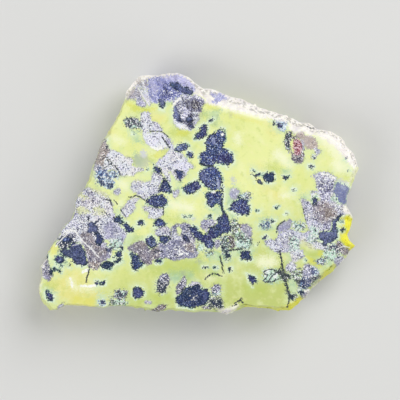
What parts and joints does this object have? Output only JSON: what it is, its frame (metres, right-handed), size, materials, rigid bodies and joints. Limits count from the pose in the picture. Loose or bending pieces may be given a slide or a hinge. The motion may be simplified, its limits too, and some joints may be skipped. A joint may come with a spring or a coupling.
{
  "type": "serpentine specimen",
  "caption": "Slab of lemon-yellow serpentine with dark magnetite and silvery metallic patches, with a polished face and a broken rim, lying flat on its sawn back.",
  "frame": {"origin": "middle of the bounding box, on the flat sawn back that the stone lies on", "axes": "+Z out of the polished face; +X along the longest extent, from the narrow lower left corner to the broad right shoulder; +Y towards the blue-grey nose"},
  "size_m": [0.1024, 0.077, 0.014],
  "materials": {
    "serpentine": "gloss"
  },
  "bodies": {
    "root": {"serpentine_slab": "serpentine"}
  },
  "joints": []
}
